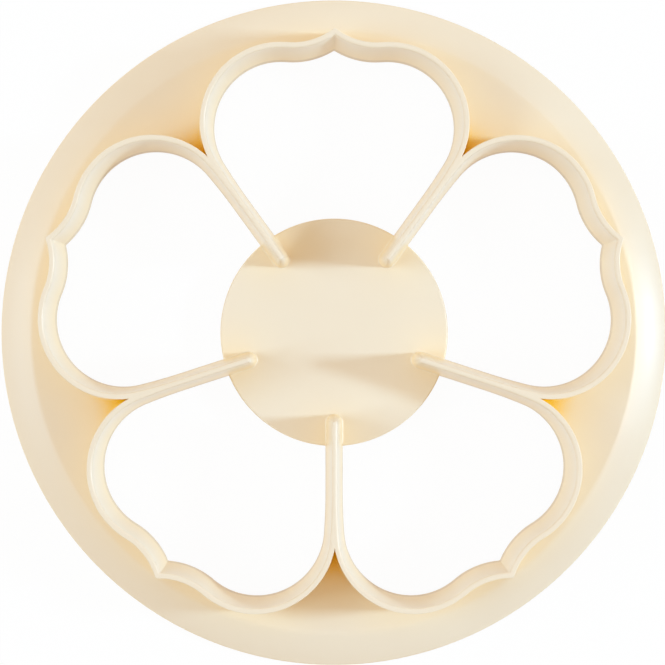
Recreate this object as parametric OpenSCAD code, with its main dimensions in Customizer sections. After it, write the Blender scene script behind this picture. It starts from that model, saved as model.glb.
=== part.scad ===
// Five-petal blossom cutter, moulded in one piece of cream plastic.
// It stands on the round foot of its rim, with the cutting edges up.
// The origin is the centre of the rest plane, +Z points to the cutting edges
// and +Y runs through the point of the first petal.

/* [Petal outline] */
// Distance from the centre to the point of a petal, along the cutting line
tip_r = 50.3; // [46:0.1:58]
// Radius of a petal's rounded lobes, along the cutting line
lobe_r = 13; // [10:0.1:14]
// How much nearer the centre than the point a lobe comes closest to the spoke
lobe_back = 16.6; // [14:0.1:19]
// Gap between the full circle of a lobe and the centre line of the spoke
lobe_gap = 0.24; // [0.1:0.02:0.4]
// Length in which the wall leaves the spoke before the lobe begins
bend_len = 6.5; // [4:0.5:8]
// Radius of the hollow flanks that draw a petal out to its point
flank_r = 12; // [9:0.1:15]

/* [Blades] */
// Height of the blades above the flange plate
blade_h = 11; // [8:0.5:20]
// Width of the flat land on top of a blade
land_w = 0.95; // [0.6:0.05:1.4]
// Draft of the faces that line the petal openings, in degrees
inner_draft = 4.5; // [2:0.25:5]
// Draft of the faces that look away from the openings, in degrees
outer_draft = 1.5; // [0.5:0.25:3]

/* [Flange] */
// Thickness of the flange plate and of the hub disc
plate_t = 2; // [1.2:0.1:3]
// Flat left on the plate outside the foot of a petal's point
tip_clear = 0.55; // [0.3:0.05:4]
// Radial width of the sloped band round the plate
band_w = 5.5; // [4:0.05:9]
// Slope of the band where it leaves the plate, in degrees
band_start_deg = 18; // [10:1:24]
// Slope of the band where it reaches the rim, in degrees
band_end_deg = 35; // [28:1:45]
// Radius of the rounding between the band and the upright lip
rim_round = 0.6; // [0.3:0.05:1]
// Height of the upright lip, from the rest plane to the rounding
lip_h = 0.9; // [0.5:0.05:4]
// Width of the lip's foot
foot_w = 1.8; // [1.2:0.1:3]
// Small bevel on the outer edge of the foot
edge_ease = 0.25; // [0.1:0.05:0.4]

/* [Hub] */
// Radius of the hub disc
hub_r = 19.5; // [17:0.1:22]
// How far the land of a spoke reaches in over the hub disc
spoke_reach = 4.6; // [2:0.1:9]

/* [Hidden] */
$fn = 96;

petal_count = 5;
pitch = 360 / petal_count;
half_pitch = pitch / 2;

cream = "#f2e3c8";
cream_light = "#f7ebd6";

// The band is an arc whose slope grows from band_start_deg to band_end_deg.
band_run = band_w - rim_round * (1 - sin(band_end_deg));
band_arc_r = band_run / (sin(band_end_deg) - sin(band_start_deg));
band_drop = band_arc_r * (cos(band_start_deg) - cos(band_end_deg));

// Heights above the rest plane.
plate_top = lip_h + rim_round * cos(band_end_deg) + band_drop;
plate_z = plate_top - plate_t;
edge_z = plate_top + blade_h;

// Distance of a blade's faces from the cutting line, at its foot on the plate.
half_land = land_w / 2;
inner_foot = half_land + blade_h * tan(inner_draft);
outer_foot = half_land + blade_h * tan(outer_draft);

// Middle of a lobe, from its place along the spoke and its distance from it.
lobe_along = tip_r - lobe_back;
lobe_off = lobe_r + lobe_gap;
lobe_x = lobe_along * sin(half_pitch) - lobe_off * cos(half_pitch);
lobe_y = lobe_along * cos(half_pitch) + lobe_off * sin(half_pitch);

// Neighbouring faces cross by a hair instead of only touching, which keeps their
// common edge sharp and clean. The bend dips into the spoke's face, the lobe into
// the bend, and the flank into the lobe.
bend_dip = 0.02;
lobe_dip = 0.04;
flank_dip = 0.002;

// The bend is an arc between the spoke's face and the lobe's circle.
bend_rise = lobe_gap + bend_dip + lobe_dip;
bend_extra = (bend_len * bend_len + bend_rise * bend_rise) / (2 * bend_rise);
bend_r = lobe_r - lobe_dip + bend_extra;
bend_deg = asin(bend_len / bend_extra);
bend_along = lobe_along - bend_len;
bend_x = bend_along * sin(half_pitch) - (bend_r - bend_dip) * cos(half_pitch);
bend_y = bend_along * cos(half_pitch) + (bend_r - bend_dip) * sin(half_pitch);
// Half of the length in which the bend dips into the spoke's face.
bend_half = sqrt(2 * bend_r * bend_dip);
fork_r = bend_along - bend_half - 0.5;

// The flank's circle meets the lobe's circle and passes through the point.
to_tip = norm([lobe_x, tip_r - lobe_y]);
to_tip_deg = atan2(tip_r - lobe_y, -lobe_x);
to_flank = lobe_r + flank_r - flank_dip;
flank_turn = acos((to_flank ^ 2 + to_tip ^ 2 - flank_r ^ 2) / (2 * to_flank * to_tip));
lobe_end_deg = to_tip_deg - flank_turn;
flank_x = lobe_x + to_flank * cos(lobe_end_deg);
flank_y = lobe_y + to_flank * sin(lobe_end_deg);

// The openings are cut a little past both faces of the plate.
cut_over = 1;
cut_z = plate_z - cut_over;
cut_top = plate_top + cut_over;
blade_cut_top = edge_z + cut_over;
// Width of the cut along the spoke's face. The core of the cut clears the rest.
cut_band = 2 * inner_foot;
core_in = 1.5 * inner_foot;

// The foot of the point decides where the flat of the plate may end.
point_foot_r = flank_y - sqrt((flank_r - outer_foot) ^ 2 - flank_x ^ 2);
plate_r = point_foot_r + tip_clear;
outer_r = plate_r + band_w;
spoke_end_r = hub_r - spoke_reach;

// Steps in the drawn arcs of the band and the rim's rounding.
band_steps = 6;
round_steps = 4;

// Points of an arc about [x, y], from angle a to angle b.
function arc(x, y, r, a, b, steps) = [
  for (i = [0 : steps])
    let (t = a + (b - a) * i / steps)
      [x + r * cos(t), y + r * sin(t)]
];

// Point at a distance along a petal's right spoke and off its centre line.
function by_spoke(along, off) = [
  along * sin(half_pitch) - off * cos(half_pitch),
  along * cos(half_pitch) + off * sin(half_pitch)
];

function mirrored(points) = [
  for (i = [len(points) - 1 : -1 : 0])
    [-points[i].x, points[i].y]
];

// Distance of a blade's faces from the cutting line at a height.
function inner_off(z) = half_land + (edge_z - z) * tan(inner_draft);
function outer_off(z) = half_land + (edge_z - z) * tan(outer_draft);

// Drafted round form about [x, y], with its radius at the two heights.
module drafted_disc(x, y, z_from, r_from, z_to, r_to) {
  translate([x, y, z_from])
    cylinder(h = z_to - z_from, r1 = r_from, r2 = r_to);
}

// Upright block over an outline.
module block(z_from, z_to, outline) {
  translate([0, 0, z_from])
    linear_extrude(height = z_to - z_from)
      polygon(outline);
}

// Sweeps a section along the right spoke's centre line.
module along_spoke(from, to) {
  rotate([0, 0, 90 - half_pitch])
    translate([from, 0, 0])
      rotate([90, 0, 90])
        linear_extrude(height = to - from)
          children();
}

module on_both_sides() {
  children();
  mirror([1, 0, 0])
    children();
}

// Opening along the straight spoke, with the spoke's drafted face.
module spoke_side(top) {
  along_spoke(hub_r - cut_band, bend_along)
    polygon([
      [inner_off(cut_z), cut_z],
      [inner_off(top), top],
      [cut_band, top],
      [cut_band, cut_z]
    ]);
}

// Opening along the bend, up to the line through the bend's and the lobe's centres.
module bend_side(top) {
  deep = 3 * inner_foot;
  before = asin((bend_along - fork_r + 1) / bend_r);
  translate([bend_x, bend_y, 0])
    rotate([0, 0, -half_pitch - before])
      rotate_extrude(angle = before + bend_deg)
        polygon([
          [bend_r - inner_off(cut_z), cut_z],
          [bend_r - inner_off(top), top],
          [bend_r - deep, top],
          [bend_r - deep, cut_z]
        ]);
}

// Everything inside the blade's inner face, from below the plate up to a height.
module petal_opening(top) {
  half_core = [
    by_spoke(hub_r - cut_band, core_in),
    by_spoke(bend_along, core_in),
    [lobe_x, lobe_y],
    [flank_x, flank_y]
  ];
  difference() {
    union() {
      block(cut_z, top, concat(half_core, mirrored(half_core)));
      on_both_sides() {
        spoke_side(top);
        bend_side(top);
        drafted_disc(lobe_x, lobe_y, cut_z, lobe_r - inner_off(cut_z), top, lobe_r - inner_off(top));
      }
    }
    on_both_sides()
      drafted_disc(
        flank_x, flank_y,
        cut_z - 1, flank_r + inner_off(cut_z - 1),
        top + 1, flank_r + inner_off(top + 1)
      );
  }
}

// Everything inside the blade's outer face, as far as the middle of both spokes.
module petal_outside() {
  low = plate_top - 1;
  high = edge_z + 1;
  // The spoke end of the block lies between the spoke's middle and the lobe's face.
  past_middle = (lobe_gap - half_land) / 2;
  half_core = [
    by_spoke(fork_r - 1, core_in),
    by_spoke(fork_r - 1, past_middle),
    by_spoke(lobe_along, past_middle),
    [lobe_x, lobe_y],
    [flank_x, flank_y]
  ];
  half_sector = [
    by_spoke(fork_r, 3 * inner_foot),
    by_spoke(fork_r, 0),
    by_spoke(2 * outer_r, 0)
  ];
  intersection() {
    difference() {
      union() {
        block(plate_top, edge_z, concat(half_core, mirrored(half_core)));
        on_both_sides()
          drafted_disc(lobe_x, lobe_y, plate_top, lobe_r + outer_foot, edge_z, lobe_r + half_land);
      }
      on_both_sides()
        drafted_disc(flank_x, flank_y, low, flank_r - outer_off(low), high, flank_r - outer_off(high));
    }
    block(low, high, concat(half_sector, mirrored(half_sector)));
  }
}

module at_petal(k) {
  rotate([0, 0, pitch * (k - 1)])
    children();
}

// The plate with the hub's hole and the openings of the first petals cut out.
module plate_with_openings(petals) {
  difference() {
    if (petals > 0)
      plate_with_openings(petals - 1);
    else
      translate([0, 0, plate_z])
        cylinder(h = plate_t, r = plate_r);
    if (petals > 0)
      at_petal(petals)
        petal_opening(cut_top);
    else
      translate([0, 0, cut_z])
        cylinder(h = cut_top - cut_z, r = hub_r);
  }
}

// The flat plate: its ring, the forks between the petals and the webs to the hub.
module flange_plate() {
  color(cream)
    plate_with_openings(petal_count);
}

// The sloped band with its upright lip, open below.
module rim_skirt() {
  band_x = plate_r - band_arc_r * sin(band_start_deg);
  band_y = plate_top - band_arc_r * cos(band_start_deg);
  round_x = outer_r - rim_round;
  color(cream)
    rotate_extrude()
      polygon(concat(
        [[plate_r, plate_z]],
        arc(band_x, band_y, band_arc_r, 90 - band_start_deg, 90 - band_end_deg, band_steps),
        arc(round_x, lip_h, rim_round, 90 - band_end_deg, 0, round_steps),
        [
          [outer_r, edge_ease],
          [outer_r - edge_ease, 0],
          [outer_r - foot_w, 0]
        ]
      ));
}

// The round disc in the middle, flush with the plate.
module hub_disc() {
  color(cream)
    translate([0, 0, plate_z])
      cylinder(h = plate_t, r = hub_r);
}

// Wall round one petal opening, with its cutting land on top.
module petal_blade(k) {
  color(cream_light)
    at_petal(k)
      difference() {
        petal_outside();
        petal_opening(blade_cut_top);
      }
}

// Straight wall that two petals share. It runs from the fork onto the hub,
// where it ends in a half round.
module spoke_blade(k) {
  end_r = spoke_end_r + half_land;
  color(cream_light)
    at_petal(k) {
      along_spoke(end_r, fork_r)
        polygon([
          [-inner_foot, plate_top],
          [inner_foot, plate_top],
          [half_land, edge_z],
          [-half_land, edge_z]
        ]);
      rotate([0, 0, 90 - half_pitch])
        translate([end_r, 0, 0])
          rotate([0, 0, 90])
            rotate_extrude(angle = 180)
              polygon([
                [0, plate_top],
                [inner_foot, plate_top],
                [half_land, edge_z],
                [0, edge_z]
              ]);
    }
}

flange_plate();
rim_skirt();
hub_disc();
petal_blade(1);  // petal_blade_1
petal_blade(2);  // petal_blade_2
petal_blade(3);  // petal_blade_3
petal_blade(4);  // petal_blade_4
petal_blade(5);  // petal_blade_5
spoke_blade(1);  // spoke_blade_1
spoke_blade(2);  // spoke_blade_2
spoke_blade(3);  // spoke_blade_3
spoke_blade(4);  // spoke_blade_4
spoke_blade(5);  // spoke_blade_5
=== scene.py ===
import math

import bmesh
import bpy
from mathutils import Matrix, Vector


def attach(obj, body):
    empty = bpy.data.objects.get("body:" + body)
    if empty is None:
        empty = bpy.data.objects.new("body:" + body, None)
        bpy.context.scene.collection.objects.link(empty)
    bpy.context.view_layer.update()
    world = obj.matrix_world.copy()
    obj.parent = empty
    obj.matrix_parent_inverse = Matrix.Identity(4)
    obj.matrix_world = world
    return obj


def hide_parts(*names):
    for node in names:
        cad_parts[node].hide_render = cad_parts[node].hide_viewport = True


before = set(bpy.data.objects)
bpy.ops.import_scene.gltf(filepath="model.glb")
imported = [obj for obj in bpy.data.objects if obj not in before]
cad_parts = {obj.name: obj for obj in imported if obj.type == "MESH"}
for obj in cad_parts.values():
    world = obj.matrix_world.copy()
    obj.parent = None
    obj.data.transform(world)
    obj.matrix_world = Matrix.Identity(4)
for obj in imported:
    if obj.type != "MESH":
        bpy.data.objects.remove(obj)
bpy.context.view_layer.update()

# Sizes of the moulding in millimetres, the same as in the part's source.
TIP_R = 50.3
LOBE_R = 13.0
LOBE_BACK = 16.6
LOBE_GAP = 0.24
BEND_LEN = 6.5
FLANK_R = 12.0
BLADE_H = 11.0
LAND_W = 0.95
INNER_DRAFT = math.radians(4.5)
OUTER_DRAFT = math.radians(1.5)
PLATE_T = 2.0
TIP_CLEAR = 0.55
BAND_W = 5.5
BAND_START = math.radians(18)
BAND_END = math.radians(35)
RIM_ROUND = 0.6
LIP_H = 0.9
FOOT_W = 1.8
EDGE_EASE = 0.25
HUB_R = 19.5
SPOKE_REACH = 4.6
# Distance from the centre at which the petal walls leave the spoke.
FORK_R = 24.87

# Small roundings that the solids leave out.
LAND_ROUND = 0.12
BEVEL_ROUND = 0.42
FOOT_FILLET = 0.35
HUB_FILLET = 0.25
OPENING_ROUND = 0.12
TIP_ROUND = 0.35
HUB_TOP_ROUND = 0.3
HUB_LOW_ROUND = 0.2
BAND_SOFT = 0.5
HOLLOW_ROUND = 1.2
FOOT_ROUND = 0.5

# A spoke's fillet begins this far inside the hub's edge and grows over this length.
FILLET_START = 0.1
FILLET_GROW = 0.6

# How far the pieces lap inside each other, out of sight.
RIM_LAP = 1.1
RIM_LOW_LAP = 1.6
PLATE_BACK = 0.3
PLATE_RECESS = 0.95
HUB_LAP = 0.35
WALL_LAP = 0.45
WALL_LAP_T = 0.25
LINER_IN = 0.6
LINER_TOP_IN = 0.2
LINER_BEVEL = 0.3
SPOKE_LINER = 0.6
FILLET_SINK = 0.05

# Lapping faces are lifted by these amounts, so that no two of them share a plane.
RIM_LIFT = 0.003
WALL_LIFT = 0.004
PLATE_LOW_LIFT = 0.006
LINER_LIFT = 0.018

# Keeps the points of a fillet apart where its radius is 0.
STEP_LIFT = 0.001

PETALS = 5
PITCH = math.radians(360 / PETALS)
HALF_PITCH = PITCH / 2
MM = 0.001

band_run = BAND_W - RIM_ROUND * (1 - math.sin(BAND_END))
band_arc_r = band_run / (math.sin(BAND_END) - math.sin(BAND_START))
band_drop = band_arc_r * (math.cos(BAND_START) - math.cos(BAND_END))
plate_top = LIP_H + RIM_ROUND * math.cos(BAND_END) + band_drop
plate_low = plate_top - PLATE_T
edge_z = plate_top + BLADE_H
half_land = LAND_W / 2
wall_foot = plate_top + WALL_LIFT
liner_low = plate_low + LINER_LIFT


def inner_off(z):
    """Distance of the face towards the opening from the cutting line."""
    return half_land + (edge_z - z) * math.tan(INNER_DRAFT)


def outer_off(z):
    """Distance of the face away from the opening from the cutting line."""
    return half_land + (edge_z - z) * math.tan(OUTER_DRAFT)


def arc(cx, cy, r, a, b, steps):
    """Points of an arc from angle a to angle b, both ends included."""
    points = []
    for i in range(steps + 1):
        t = a + (b - a) * i / steps
        points.append((cx + r * math.cos(t), cy + r * math.sin(t)))
    return points


def rounded(corners, step=math.radians(11), support=0.05):
    """Closed outline from (x, y, radius) corners, each drawn as an arc.

    A point at the support distance beyond each end of an arc keeps its shading in place.
    """
    points = []
    count = len(corners)
    for i, (x, y, r) in enumerate(corners):
        if r <= 0:
            points.append((x, y))
            continue
        here = Vector((x, y))
        back = (Vector(corners[i - 1][:2]) - here).normalized()
        ahead = (Vector(corners[(i + 1) % count][:2]) - here).normalized()
        opening = back.angle(ahead)
        reach = r / math.tan(opening / 2)
        middle = here + (back + ahead).normalized() * (r / math.sin(opening / 2))
        first = here + back * reach
        last = here + ahead * reach
        start = (first - middle).normalized()
        turn = start.angle_signed((last - middle).normalized())
        steps = max(2, math.ceil(abs(turn) / step))
        points.append(tuple(first + back * support))
        for j in range(steps + 1):
            # angle_signed counts clockwise, and so does this turn.
            spin = Matrix.Rotation(-turn * j / steps, 2)
            points.append(tuple(middle + spin @ start * r))
        points.append(tuple(last + ahead * support))
    return points


# The first petal's right spoke: along it, and from it towards the petal.
along = (math.sin(HALF_PITCH), math.cos(HALF_PITCH))
aside = (-math.cos(HALF_PITCH), math.sin(HALF_PITCH))


def by_spoke(a, off):
    """Point at distance a along the right spoke and off its middle line."""
    return (a * along[0] + off * aside[0], a * along[1] + off * aside[1])


# The bend's circle touches the spoke's middle line and the lobe's circle.
lobe_at = TIP_R - LOBE_BACK
bend_at = lobe_at - BEND_LEN
bend_r = LOBE_R + (BEND_LEN ** 2 + LOBE_GAP ** 2) / (2 * LOBE_GAP)
bend_turn = math.atan2(BEND_LEN, bend_r - LOBE_R - LOBE_GAP)
bend_x, bend_y = by_spoke(bend_at, bend_r)
lobe_x, lobe_y = by_spoke(lobe_at, LOBE_R + LOBE_GAP)

# The flank's circle touches the lobe's circle and passes through the point.
to_tip = math.hypot(lobe_x, TIP_R - lobe_y)
to_flank = LOBE_R + FLANK_R
flank_turn = math.acos((to_flank ** 2 + to_tip ** 2 - FLANK_R ** 2) / (2 * to_flank * to_tip))
lobe_end = math.atan2(TIP_R - lobe_y, -lobe_x) - flank_turn
flank_x = lobe_x + to_flank * math.cos(lobe_end)
flank_y = lobe_y + to_flank * math.sin(lobe_end)

# The foot of the point decides where the flat of the plate ends.
outer_foot = outer_off(plate_top)
point_foot_r = flank_y - math.sqrt((FLANK_R - outer_foot) ** 2 - flank_x ** 2)
plate_r = point_foot_r + TIP_CLEAR
outer_r = plate_r + BAND_W
spoke_end_r = HUB_R - SPOKE_REACH

BEND_STEPS = 10
LOBE_STEPS = 72
FLANK_STEPS = 22
TIP_STEPS = 5
BAND_STEPS = 14
SOFT_STEPS = 8
RIM_STEPS = 10
END_STEPS = 16
FILLET_STEPS = 6
RIM_SEGMENTS = 360
PLATE_SEGMENTS = 240
HUB_SEGMENTS = 256
HUB_RINGS = (1.0, 5.0, 10.0, 15.0)

# Points nearer than this are joined, and edges sharper than this stay hard.
SAME_POINT = 1e-5
SHARP_ANGLE = math.radians(28)


def half_petal(off, start):
    """Half of a petal's outline, from its right spoke to its point.

    off is the distance from the cutting line towards the opening, and start is the
    distance from the centre at which the outline begins.
    """
    first_turn = -HALF_PITCH
    bend_end = first_turn + bend_turn
    points = [by_spoke(start, off)]
    points += arc(bend_x, bend_y, bend_r - off, first_turn, bend_end, BEND_STEPS)
    points += arc(lobe_x, lobe_y, LOBE_R - off, bend_end, lobe_end, LOBE_STEPS)[1:]
    flank_off = FLANK_R + off
    tip_y = flank_y - math.sqrt((flank_off + TIP_ROUND) ** 2 - flank_x ** 2)
    meet = math.atan2(tip_y - flank_y, -flank_x)
    points += arc(flank_x, flank_y, flank_off, lobe_end - math.pi, meet, FLANK_STEPS)[1:]
    points += arc(0, tip_y, TIP_ROUND, meet + math.pi, math.pi / 2, TIP_STEPS)[1:]
    return points


def whole_petal(off, start):
    """Petal outline from its right spoke over the point to its left spoke."""
    right = half_petal(off, start)
    left = [(-x, y) for x, y in reversed(right[:-1])]
    return right + left


def finish_piece(bm, name, nodes, turn=0.0):
    """Turns the drawn mesh into a piece that stands for the named nodes."""
    bmesh.ops.remove_doubles(bm, verts=bm.verts, dist=SAME_POINT)
    bmesh.ops.recalc_face_normals(bm, faces=bm.faces)
    spin = Matrix.Rotation(turn, 4, "Z")
    bmesh.ops.transform(bm, matrix=Matrix.Scale(MM, 4) @ spin, verts=bm.verts)
    mesh = bpy.data.meshes.new(name)
    bm.to_mesh(mesh)
    bm.free()
    mesh.shade_smooth()
    mesh.set_sharp_from_angle(angle=SHARP_ANGLE)
    piece = bpy.data.objects.new(name, mesh)
    bpy.context.scene.collection.objects.link(piece)
    mesh.materials.append(cream_plastic)
    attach(piece, "root")
    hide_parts(*nodes)


def revolved(outline, name, nodes, segments, on_axis=False):
    """Piece turned about the upright axis from its outline.

    The outline is closed, or with on_axis it ends in two flat faces across the axis.
    """
    bm = bmesh.new()
    rings = []
    for i in range(segments):
        t = 2 * math.pi * i / segments
        rings.append([bm.verts.new((r * math.cos(t), r * math.sin(t), z)) for r, z in outline])
    count = len(outline)
    sides = count - 1 if on_axis else count
    for i in range(segments):
        here = rings[i]
        after = rings[(i + 1) % segments]
        for j in range(sides):
            k = (j + 1) % count
            bm.faces.new((here[j], after[j], after[k], here[k]))
    if on_axis:
        bm.faces.new([ring[0] for ring in rings])
        bm.faces.new([ring[-1] for ring in reversed(rings)])
    finish_piece(bm, name, nodes)


# Small helpers for node materials.
def node(tree, kind, **values):
    """Adds a node with the named settings."""
    made = tree.nodes.new(kind)
    for key, value in values.items():
        setattr(made, key, value)
    return made


def noise(tree, where, scale, detail=2):
    """Noise value, with where for its coordinates or None for the usual ones."""
    made = node(tree, "ShaderNodeTexNoise")
    made.inputs["Scale"].default_value = scale
    made.inputs["Detail"].default_value = detail
    if where is not None:
        tree.links.new(where, made.inputs["Vector"])
    return made.outputs["Fac"]


def mapped(tree, value, before, after=(0, 1), kind="LINEAR"):
    """Value carried from one range onto another, and held at its ends."""
    made = node(tree, "ShaderNodeMapRange", interpolation_type=kind)
    made.inputs["From Min"].default_value = before[0]
    made.inputs["From Max"].default_value = before[1]
    made.inputs["To Min"].default_value = after[0]
    made.inputs["To Max"].default_value = after[1]
    tree.links.new(value, made.inputs["Value"])
    return made.outputs["Result"]


def combined(tree, operation, first, second):
    """Two values brought together by a Math node."""
    made = node(tree, "ShaderNodeMath", operation=operation)
    tree.links.new(first, made.inputs[0])
    tree.links.new(second, made.inputs[1])
    return made.outputs["Value"]


def mixed(tree, factor, first, second):
    """Colour between two others, each a socket or a plain (r, g, b)."""
    made = node(tree, "ShaderNodeMix", data_type="RGBA")
    tree.links.new(factor, made.inputs["Factor"])
    for name, colour in (("A", first), ("B", second)):
        if isinstance(colour, tuple):
            made.inputs[name].default_value = colour + (1,)
        else:
            tree.links.new(colour, made.inputs[name])
    return made.outputs["Result"]


def parts_of(tree, vector):
    """Outputs X, Y and Z of a vector."""
    made = node(tree, "ShaderNodeSeparateXYZ")
    tree.links.new(vector, made.inputs["Vector"])
    return made.outputs


def bumped(tree, height, strength, distance, normal=None):
    """Normal that a height field gives, on top of another normal."""
    made = node(tree, "ShaderNodeBump")
    made.inputs["Strength"].default_value = strength
    made.inputs["Distance"].default_value = distance
    tree.links.new(height, made.inputs["Height"])
    if normal is not None:
        tree.links.new(normal, made.inputs["Normal"])
    return made.outputs["Normal"]


# Colours of the plastic: the drift of the flat faces, the painted shade on the lining of the
# openings, and the painted glow and shade of the walls by their height as a share of the whole.
CREAM_DEEP = (0.868, 0.745, 0.575)
CREAM_PALE = (0.895, 0.775, 0.61)
# Painted shade on the lining of the openings.
LINING_SHADE_COLOUR = (0.66, 0.50, 0.34)
WALL_GLOW_AND_SHADE_STOPS = (
    (0.0, (0.80, 0.66, 0.48, 1)),
    (1.0 / edge_z, (0.84, 0.70, 0.50, 1)),
    ((plate_low + 1.5) / edge_z, (0.97, 0.78, 0.50, 1)),
    (1.0, (0.92, 0.815, 0.66, 1)),
)

# Painted shade and glow in nooks: how open a place is where each painted colour begins and where it
# is full.
NOOK_REACH = 0.009
NOOK_GLOW_AND_SHADE_STAGES = (
    ((1.0, 0.30), (0.96, 0.77, 0.48)),
    ((0.42, 0.26), (1.0, 0.64, 0.0)),
)


def painted_wall_glow_and_shade(tree, height):
    """Colour of a thin wall by its height, with painted light: darker towards the bottom as painted
    shade, warmer above as a painted glow of light passing through.
    """
    ramp = node(tree, "ShaderNodeValToRGB")
    for position, colour in WALL_GLOW_AND_SHADE_STOPS[1:-1]:
        ramp.color_ramp.elements.new(position)
    for element, (position, colour) in zip(ramp.color_ramp.elements, WALL_GLOW_AND_SHADE_STOPS):
        element.position = position
        element.color = colour
    tree.links.new(mapped(tree, height, (0, edge_z * MM)), ramp.inputs["Fac"])
    return ramp.outputs["Color"]


def lining_shade_share(tree, spot, height, wall):
    """Value 1 on the lining of the openings, in the thickness of the plate, where shade is painted.
    """
    flat = node(tree, "ShaderNodeVectorMath", operation="MULTIPLY")
    flat.inputs[1].default_value = (1, 1, 0)
    tree.links.new(spot, flat.inputs[0])
    radius = node(tree, "ShaderNodeVectorMath", operation="LENGTH")
    tree.links.new(flat.outputs["Vector"], radius.inputs[0])
    from_axis = radius.outputs["Value"]
    share = mapped(tree, height, ((plate_top + 0.4) * MM, (plate_top - 0.8) * MM))
    off_hub = mapped(tree, from_axis, ((HUB_R + 0.2) * MM, (HUB_R + 1.2) * MM))
    off_rim = mapped(tree, from_axis, ((plate_r - 0.1) * MM, (plate_r - 0.5) * MM))
    for mask in (wall, off_hub, off_rim):
        share = combined(tree, "MULTIPLY", share, mask)
    return share


def make_plastic(name):
    """Cream plastic with a soft moulded gloss."""
    material = bpy.data.materials.new(name)
    material.use_nodes = True
    tree = material.node_tree
    tree.nodes.clear()
    out = node(tree, "ShaderNodeOutputMaterial")
    shader = node(tree, "ShaderNodeBsdfPrincipled")
    shader.inputs["IOR"].default_value = 1.48
    shader.inputs["Specular IOR Level"].default_value = 0.4
    tree.links.new(shader.outputs["BSDF"], out.inputs["Surface"])
    where = node(tree, "ShaderNodeTexCoord")
    spot = where.outputs["Object"]
    height = parts_of(tree, spot)["Z"]

    # Faint drifts of the cream where the melt flowed.
    shade = mixed(tree, noise(tree, spot, 28, 3), CREAM_DEEP, CREAM_PALE)

    # Upright faces take the painted glow and shade of the walls.
    upright = node(tree, "ShaderNodeMath", operation="ABSOLUTE")
    tree.links.new(parts_of(tree, where.outputs["Normal"])["Z"], upright.inputs[0])
    wall = mapped(tree, upright.outputs["Value"], (0.75, 0.25), kind="SMOOTHSTEP")
    shade = mixed(tree, wall, shade, painted_wall_glow_and_shade(tree, height))

    # Painted shade: the lining of an opening, where the plate makes it thick, is darkened.
    shade = mixed(tree, lining_shade_share(tree, spot, height, wall), shade, LINING_SHADE_COLOUR)

    # Painted shade and glow: in nooks found by ambient occlusion the colour turns golden, as if
    # light had passed through the plastic.
    nook = node(tree, "ShaderNodeAmbientOcclusion", samples=12)
    nook.inputs["Distance"].default_value = NOOK_REACH
    for openness, colour in NOOK_GLOW_AND_SHADE_STAGES:
        depth = mapped(tree, nook.outputs["AO"], openness)
        shade = mixed(tree, depth, shade, colour)
    tree.links.new(shade, shader.inputs["Base Color"])

    # The gloss varies a little, as on a worn mould.
    gloss = mapped(tree, noise(tree, spot, 160, 4), (0, 1), (0.31, 0.41))
    tree.links.new(gloss, shader.inputs["Roughness"])

    # Moulded skin: a fine grain over a slow unevenness.
    grain = bumped(tree, noise(tree, spot, 2600, 3), 0.12, 0.00003)
    skin = bumped(tree, noise(tree, spot, 60), 0.15, 0.0002, grain)
    tree.links.new(skin, shader.inputs["Normal"])
    return material


cream_plastic = make_plastic("cream plastic")


def make_plate():
    """Flat plate whose openings end inside the walls."""
    outer = arc(0, 0, plate_r - PLATE_BACK, 0, 2 * math.pi, PLATE_SEGMENTS)[:-1]
    inner = []
    for k in range(PETALS):
        turn = Matrix.Rotation(PITCH * k, 2)
        for point in whole_petal(PLATE_RECESS, HUB_R - HUB_LAP):
            inner.append(tuple(turn @ Vector(point)))
    bm = bmesh.new()
    levels = []
    for z in (plate_top, plate_low + PLATE_LOW_LIFT):
        loops = []
        for outline in (outer, inner):
            loops.append([bm.verts.new((x, y, z)) for x, y in outline])
        levels.append(loops)
    edges = []
    for loop in levels[0]:
        for i in range(len(loop)):
            edges.append(bm.edges.new((loop[i - 1], loop[i])))
    filled = bmesh.ops.triangle_fill(bm, use_beauty=True, edges=edges)
    below = {}
    for high, low in zip(levels[0], levels[1]):
        for a, b in zip(high, low):
            below[a] = b
    faces = [f for f in filled["geom"] if isinstance(f, bmesh.types.BMFace)]
    for face in faces:
        bm.faces.new([below[v] for v in reversed(face.verts)])
    for high, low in zip(levels[0], levels[1]):
        for i in range(len(high)):
            bm.faces.new((high[i - 1], high[i], low[i], low[i - 1]))
    finish_piece(bm, "plate_moulding", ["flange_plate"])


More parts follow.
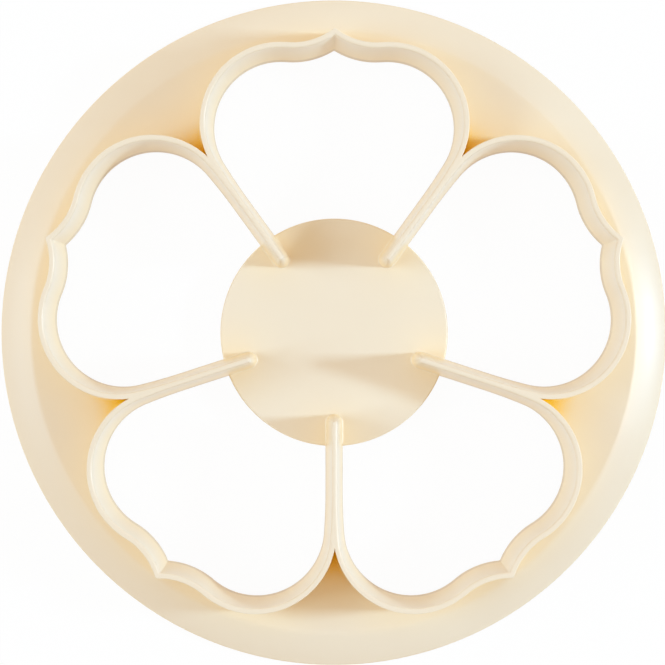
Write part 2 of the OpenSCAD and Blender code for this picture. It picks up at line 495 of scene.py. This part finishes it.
def make_rim():
    """Sloped band, rounded edge, lip and foot, hollow below."""
    band_x = plate_r - band_arc_r * math.sin(BAND_START)
    band_z = plate_top - band_arc_r * math.cos(BAND_START)
    top = plate_top + RIM_LIFT
    low = plate_low + RIM_LIFT
    # The band begins with a soft bend instead of a crease.
    soft_end = BAND_START + BAND_SOFT / band_arc_r
    end_x = band_x + band_arc_r * math.sin(soft_end)
    end_z = band_z + band_arc_r * math.cos(soft_end)
    knee_x = end_x - (top - end_z) / math.tan(soft_end)
    start_x = knee_x - (end_x - knee_x)
    outline = [(plate_r - RIM_LAP, top)]
    for i in range(SOFT_STEPS + 1):
        t = i / SOFT_STEPS
        x = (1 - t) ** 2 * start_x + 2 * t * (1 - t) * knee_x + t * t * end_x
        z = (1 - t) ** 2 * top + 2 * t * (1 - t) * top + t * t * end_z
        outline.append((x, z))
    upright = math.pi / 2
    slope_end = upright - BAND_END
    outline += arc(band_x, band_z, band_arc_r, upright - soft_end, slope_end, BAND_STEPS)[1:]
    outline += arc(outer_r - RIM_ROUND, LIP_H, RIM_ROUND, slope_end, 0, RIM_STEPS)[1:]
    inside = rounded([
        (outer_r, LIP_H, 0),
        (outer_r, 0, EDGE_EASE),
        (outer_r - FOOT_W, 0, FOOT_ROUND),
        (plate_r, low, HOLLOW_ROUND),
        (plate_r - RIM_LOW_LAP, low, 0),
        (plate_r - RIM_LAP, plate_top, 0),
    ])
    outline += inside[1:-1]
    revolved(outline, "rim_moulding", ["rim_skirt"], RIM_SEGMENTS)


def make_hub():
    """Disc with a rounded edge."""
    edge = rounded([
        (HUB_RINGS[0], plate_top, 0),
        (HUB_R, plate_top, HUB_TOP_ROUND),
        (HUB_R, plate_low, HUB_LOW_ROUND),
        (HUB_RINGS[0], plate_low, 0),
    ])
    top = [(r, plate_top) for r in HUB_RINGS]
    low = [(r, plate_low) for r in reversed(HUB_RINGS)]
    revolved(top + edge[1:-1] + low, "hub_moulding", ["hub_disc"], HUB_SEGMENTS, on_axis=True)


def make_petal_wall(k):
    """Wall round one opening, from the fork of one spoke to the next."""
    reach = outer_off(wall_foot) + WALL_LAP
    section = rounded([
        (inner_off(liner_low), liner_low, OPENING_ROUND),
        (half_land, edge_z, BEVEL_ROUND),
        (-half_land, edge_z, LAND_ROUND),
        (-outer_off(wall_foot), wall_foot, FOOT_FILLET),
        (-reach, wall_foot, 0),
        (-reach, wall_foot - WALL_LAP_T, 0),
        (LINER_TOP_IN, liner_low + LINER_BEVEL, 0),
        (LINER_IN, liner_low, 0),
    ])
    bm = bmesh.new()
    rows = []
    for off, z in section:
        outline = whole_petal(off, FORK_R)
        rows.append([bm.verts.new((x, y, z)) for x, y in outline])
    for i in range(len(rows)):
        here = rows[i - 1]
        after = rows[i]
        for j in range(len(here) - 1):
            bm.faces.new((here[j], here[j + 1], after[j + 1], after[j]))
    bm.faces.new([row[0] for row in rows])
    bm.faces.new([row[-1] for row in rows])
    bmesh.ops.recalc_face_normals(bm, faces=bm.faces)
    # The neighbour's half begins at the middle plane of each shared spoke.
    for side in (1, -1):
        into = Vector((side * aside[0], aside[1], 0))
        cut = bmesh.ops.bisect_plane(
            bm,
            geom=bm.verts[:] + bm.edges[:] + bm.faces[:],
            dist=1e-6,
            plane_co=(0, 0, 0),
            plane_no=into,
            clear_inner=True,
        )
        edges = [e for e in cut["geom_cut"] if isinstance(e, bmesh.types.BMEdge)]
        bmesh.ops.edgenet_fill(bm, edges=[e for e in edges if e.is_boundary])
    finish_piece(bm, "petal_wall_%d" % k, ["petal_blade_%d" % k], PITCH * (k - 1))


def spoke_stops():
    """Places round a spoke: where each is, which way it faces, how far it is on the hub."""
    end_r = spoke_end_r + half_land
    # Outside the hub the wall lines the web, and on the hub it has a fillet at its foot.
    stations = (FORK_R, 22.0, HUB_R + 0.2, HUB_R - 0.15, HUB_R - 0.3, HUB_R - 0.5, HUB_R - 0.8, 17.0)
    sides = []
    for r in stations:
        on_hub = min(1.0, max(0.0, (HUB_R - FILLET_START - r) / FILLET_GROW))
        sides.append((Vector((r, 0)), Vector((0, 1)), on_hub))
    around = []
    for i in range(END_STEPS + 1):
        t = math.pi / 2 + math.pi * i / END_STEPS
        around.append((Vector((end_r, 0)), Vector((math.cos(t), math.sin(t))), 1.0))
    back = [(spot, Vector((0, -1)), on_hub) for spot, out, on_hub in reversed(sides)]
    return sides + around + back


def make_spoke_wall(k):
    """Straight wall with a half-round end that stands on the hub."""
    land = rounded([
        (inner_off(wall_foot), wall_foot, 0),
        (half_land, edge_z, BEVEL_ROUND),
        (0, edge_z, 0),
    ])[1:-1]
    # The lowest part of the lining is hidden inside the hub where the wall stands on it.
    lining = rounded([
        (0, liner_low, 0),
        (inner_off(liner_low), liner_low, OPENING_ROUND),
        (half_land, edge_z, 0),
    ])[1:-1]
    lining_top = wall_foot - SPOKE_LINER
    lining.append((inner_off(lining_top), lining_top))

    bm = bmesh.new()
    rows = []
    for spot, out, on_hub in spoke_stops():
        fillet = HUB_FILLET * on_hub * on_hub * (3 - 2 * on_hub)
        column = list(lining)
        column.append((inner_off(wall_foot) + fillet, wall_foot - FILLET_SINK * on_hub))
        for i in range(FILLET_STEPS + 1):
            t = math.pi / 2 * i / FILLET_STEPS
            z = wall_foot + fillet * (1 - math.cos(t))
            off = inner_off(z) + fillet * (1 - math.sin(t))
            column.append((off, z + STEP_LIFT * i))
        column += land
        row = []
        for off, z in column:
            x, y = spot + out * off
            row.append(bm.verts.new((x, y, z)))
        rows.append(row)
    for i in range(len(rows)):
        here = rows[i]
        after = rows[(i + 1) % len(rows)]
        for j in range(len(here) - 1):
            bm.faces.new((here[j], here[j + 1], after[j + 1], after[j]))
    bm.faces.new([row[-1] for row in rows])
    bm.faces.new([row[0] for row in rows])
    azimuth = math.pi / 2 - HALF_PITCH + PITCH * (k - 1)
    finish_piece(bm, "spoke_wall_%d" % k, ["spoke_blade_%d" % k], azimuth)


make_plate()
make_rim()
make_hub()
for number in range(1, PETALS + 1):
    make_petal_wall(number)
    make_spoke_wall(number)


# Stage: a white floor that takes only a faint shadow, and a white room.
FLOOR_WHITE_SHARE = 0.96
FLOOR_HALF = 3.0
FLOOR_STEPS = 12
FLOOR_DROP = 0.00002

# Warm light comes from the whole room, a little more of it from one side.
ROOM_COLOUR = (1.0, 0.82, 0.60, 1)
ROOM_LEVEL = 0.72
BRIGHT_SIDE = math.radians(120)
BRIGHT_SHARE = 0.2


def seen_directly(tree):
    """Value 1 for rays from the camera and for reflected or passed rays."""
    path = node(tree, "ShaderNodeLightPath").outputs
    seen = combined(tree, "MAXIMUM", path["Is Camera Ray"], path["Is Glossy Ray"])
    return combined(tree, "MAXIMUM", seen, path["Is Transmission Ray"])


def mixed_shader(tree, factor, first, second):
    """Shader between two others."""
    made = node(tree, "ShaderNodeMixShader")
    tree.links.new(factor, made.inputs["Fac"])
    tree.links.new(first, made.inputs[1])
    tree.links.new(second, made.inputs[2])
    return made.outputs["Shader"]


def make_paper(name):
    """White paper, which the camera sees almost evenly white."""
    material = bpy.data.materials.new(name)
    material.use_nodes = True
    tree = material.node_tree
    tree.nodes.clear()
    out = node(tree, "ShaderNodeOutputMaterial")
    matt = node(tree, "ShaderNodeBsdfDiffuse")
    fibre = mapped(tree, noise(tree, None, 400), (0, 1), (0.88, 0.92))
    tree.links.new(fibre, matt.inputs["Color"])
    white = node(tree, "ShaderNodeEmission")
    white.inputs["Strength"].default_value = 1.0
    share = mapped(tree, seen_directly(tree), (0, 1), (0, FLOOR_WHITE_SHARE))
    paper = mixed_shader(tree, share, matt.outputs["BSDF"], white.outputs["Emission"])
    tree.links.new(paper, out.inputs["Surface"])
    return material


def make_floor():
    """Flat sheet just below the foot of the rim."""
    bm = bmesh.new()
    grid = []
    for i in range(FLOOR_STEPS + 1):
        row = []
        for j in range(FLOOR_STEPS + 1):
            x = -FLOOR_HALF + 2 * FLOOR_HALF * i / FLOOR_STEPS
            y = -FLOOR_HALF + 2 * FLOOR_HALF * j / FLOOR_STEPS
            row.append(bm.verts.new((x, y, -FLOOR_DROP)))
        grid.append(row)
    for i in range(FLOOR_STEPS):
        for j in range(FLOOR_STEPS):
            bm.faces.new((grid[i][j], grid[i + 1][j], grid[i + 1][j + 1], grid[i][j + 1]))
    mesh = bpy.data.meshes.new("floor")
    bm.to_mesh(mesh)
    bm.free()
    mesh.materials.append(make_paper("white paper"))
    floor = bpy.data.objects.new("floor", mesh)
    bpy.context.scene.collection.objects.link(floor)


def make_room():
    """White room for the camera, and warm light for the object."""
    world = bpy.data.worlds.new("studio")
    bpy.context.scene.world = world
    world.use_nodes = True
    tree = world.node_tree
    tree.nodes.clear()
    out = node(tree, "ShaderNodeOutputWorld")
    light = node(tree, "ShaderNodeBackground")
    light.inputs["Color"].default_value = ROOM_COLOUR
    ray = node(tree, "ShaderNodeTexCoord")
    lean = node(tree, "ShaderNodeVectorMath", operation="DOT_PRODUCT")
    lean.inputs[1].default_value = (math.cos(BRIGHT_SIDE), math.sin(BRIGHT_SIDE), 0)
    tree.links.new(ray.outputs["Generated"], lean.inputs[0])
    levels = (ROOM_LEVEL * (1 - BRIGHT_SHARE), ROOM_LEVEL * (1 + BRIGHT_SHARE))
    level = mapped(tree, lean.outputs["Value"], (-1, 1), levels)
    tree.links.new(level, light.inputs["Strength"])
    white = node(tree, "ShaderNodeBackground")
    white.inputs["Color"].default_value = (1, 1, 1, 1)
    white.inputs["Strength"].default_value = 1
    backgrounds = (light.outputs["Background"], white.outputs["Background"])
    room = mixed_shader(tree, seen_directly(tree), *backgrounds)
    tree.links.new(room, out.inputs["Surface"])


def make_lamp(name, azimuth, elevation, distance, size, watts, colour, matt=True):
    """Lamp that looks at the centre, in degrees, metres and watts.

    With matt off it shows only in reflections.
    """
    lamp = bpy.data.lights.new(name, "AREA")
    lamp.shape = "RECTANGLE"
    lamp.size, lamp.size_y = size
    lamp.energy = watts
    lamp.color = colour
    holder = bpy.data.objects.new(name, lamp)
    holder.visible_diffuse = matt
    a = math.radians(azimuth)
    e = math.radians(elevation)
    spot = Vector((math.cos(e) * math.cos(a), math.cos(e) * math.sin(a), math.sin(e))) * distance
    holder.location = spot
    holder.rotation_euler = (-spot).to_track_quat("-Z", "Y").to_euler()
    bpy.context.scene.collection.objects.link(holder)


make_floor()
make_room()
make_lamp("key", 1, 30, 1.2, (0.14, 0.14), 10, (0.43, 0.70, 1.0))
make_lamp("fill", 180, 40, 1.0, (0.5, 0.5), 4.6, (0.44, 0.71, 1.0))
make_lamp("sheen", 0, 52, 1.2, (0.12, 0.30), 9, (1.0, 1.0, 1.0), matt=False)


def make_camera():
    """Camera above the object. The picture's middle looks at a point of the rest plane."""
    lens = bpy.data.cameras.new("camera")
    lens.sensor_width = 36
    lens.lens = 140.9
    lens.clip_start = 0.01
    lens.clip_end = 20
    camera = bpy.data.objects.new("camera", lens)
    bpy.context.scene.collection.objects.link(camera)
    bpy.context.scene.camera = camera
    spot = Vector((-3.6, -3.2, 450.0)) * MM
    aim = Vector((-0.26, -0.01, 0.0)) * MM
    ahead = (aim - spot).normalized()
    right = ahead.cross(Vector((0, 1, 0))).normalized()
    up = right.cross(ahead)
    turn = Matrix((right, up, -ahead)).transposed().to_4x4()
    camera.matrix_world = Matrix.Translation(spot) @ turn


make_camera()

bpy.context.scene.view_settings.view_transform = "Standard"
